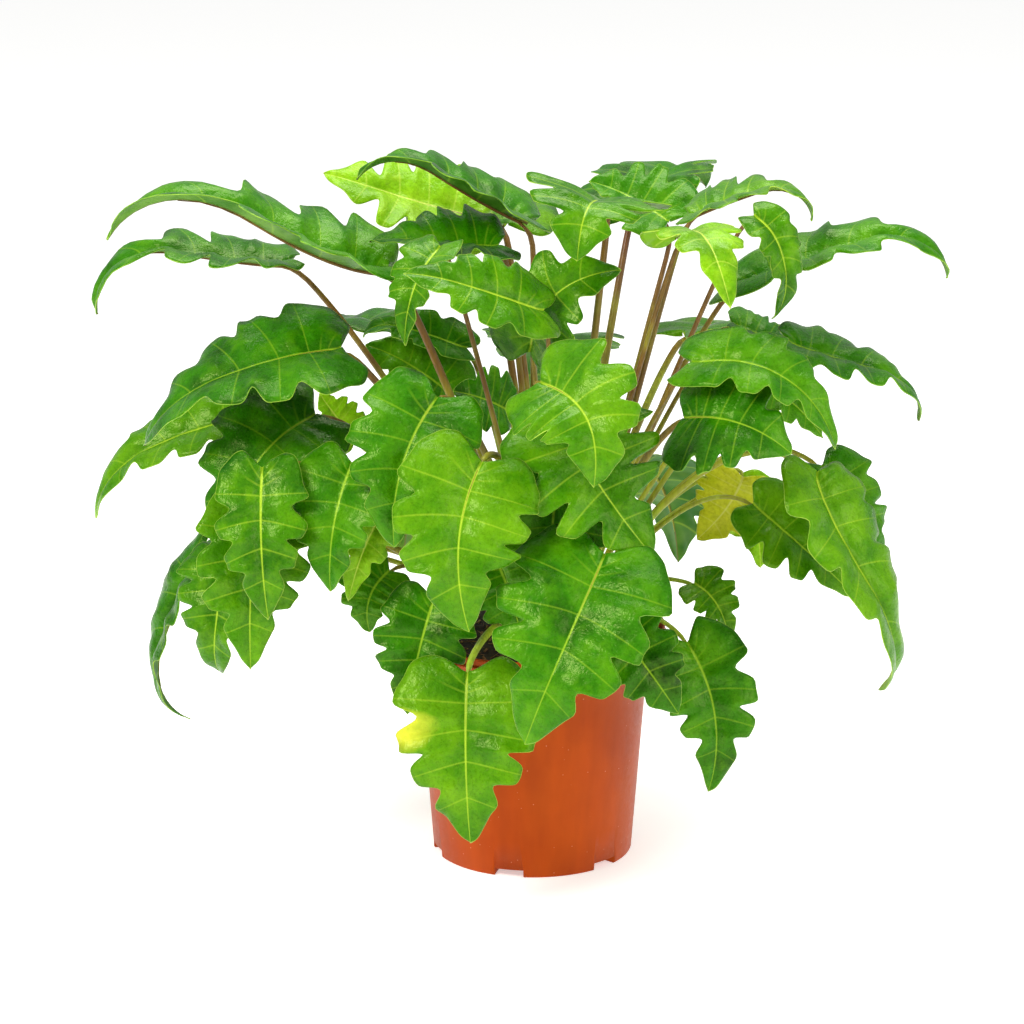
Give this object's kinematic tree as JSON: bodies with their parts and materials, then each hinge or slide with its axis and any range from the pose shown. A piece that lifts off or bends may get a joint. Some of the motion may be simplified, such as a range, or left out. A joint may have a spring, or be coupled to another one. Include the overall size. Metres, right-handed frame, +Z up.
{
  "type": "philodendron xanadu in a nursery pot",
  "caption": "Bushy split-leaf philodendron with arching stalks and lobed glossy leaves, growing in a round tapered plastic nursery pot.",
  "frame": {"origin": "centre of the flat underside of the pot", "axes": "+Z up out of the soil, -Y towards the viewer of the picture, +X to the viewer's right"},
  "size_m": [0.5969, 0.4321, 0.5046],
  "materials": {
    "leaf_deep": "satin",
    "leaf_fresh": "satin",
    "leaf_lime": "satin",
    "leaf_yellow": "satin",
    "terracotta_plastic": "satin",
    "potting_soil": "matte",
    "petiole_green": "satin"
  },
  "bodies": {
    "root": {"pot": "terracotta_plastic", "soil": "potting_soil", "stems": "petiole_green", "leaf_upper_left_long": "leaf_deep", "leaf_left_high": "leaf_deep", "leaf_left_broad": "leaf_deep", "leaf_left_low": "leaf_fresh", "leaf_left_shade": "leaf_deep", "leaf_left_front": "leaf_fresh", "leaf_left_inner": "leaf_deep", "leaf_left_hang_light": "leaf_fresh", "leaf_left_hang_curl": "leaf_fresh", "leaf_left_hang_edge": "leaf_deep", "leaf_lime_ribbon": "leaf_lime", "leaf_centre_left": "leaf_deep", "leaf_centre_big": "leaf_fresh", "leaf_centre_curl": "leaf_fresh", "leaf_centre_right": "leaf_fresh", "leaf_centre_dark": "leaf_deep", "leaf_pot_front": "leaf_deep", "leaf_pot_left_front": "leaf_fresh", "leaf_pot_left_back": "leaf_deep", "leaf_pot_right_front": "leaf_deep", "leaf_right_low": "leaf_deep", "leaf_right_low_small": "leaf_fresh", "leaf_left_low_dark": "leaf_deep", "leaf_centre_under": "leaf_deep", "leaf_top_arch": "leaf_deep", "leaf_top_lime": "leaf_lime", "leaf_top_belly": "leaf_deep", "leaf_top_left_drop": "leaf_fresh", "leaf_mid_left_point": "leaf_fresh", "leaf_small_curl": "leaf_deep", "leaf_mid_left_back": "leaf_deep", "leaf_centre_arch": "leaf_fresh", "leaf_top_mid": "leaf_fresh", "leaf_top_mid_back": "leaf_deep", "leaf_top_right_fan": "leaf_fresh", "leaf_right_fold": "leaf_lime", "leaf_right_ribbon": "leaf_fresh", "leaf_right_long": "leaf_deep", "leaf_right_back_short": "leaf_deep", "leaf_right_mid_out": "leaf_deep", "leaf_right_mid_arch": "leaf_deep", "leaf_right_shade": "leaf_deep", "leaf_right_inner": "leaf_deep", "leaf_right_fall_big": "leaf_fresh", "leaf_right_fall_back": "leaf_deep", "leaf_right_pale": "leaf_fresh", "leaf_right_yellow": "leaf_yellow", "leaf_right_yellow_hang": "leaf_lime", "leaf_left_lime_back": "leaf_lime", "leaf_stem_shade": "leaf_deep", "leaf_back_top_right": "leaf_deep", "leaf_back_top_left": "leaf_fresh", "leaf_back_left": "leaf_deep", "leaf_back_right": "leaf_fresh", "leaf_back_middle": "leaf_deep", "leaf_back_low_left": "leaf_fresh", "leaf_back_low_right": "leaf_deep"}
  },
  "joints": []
}
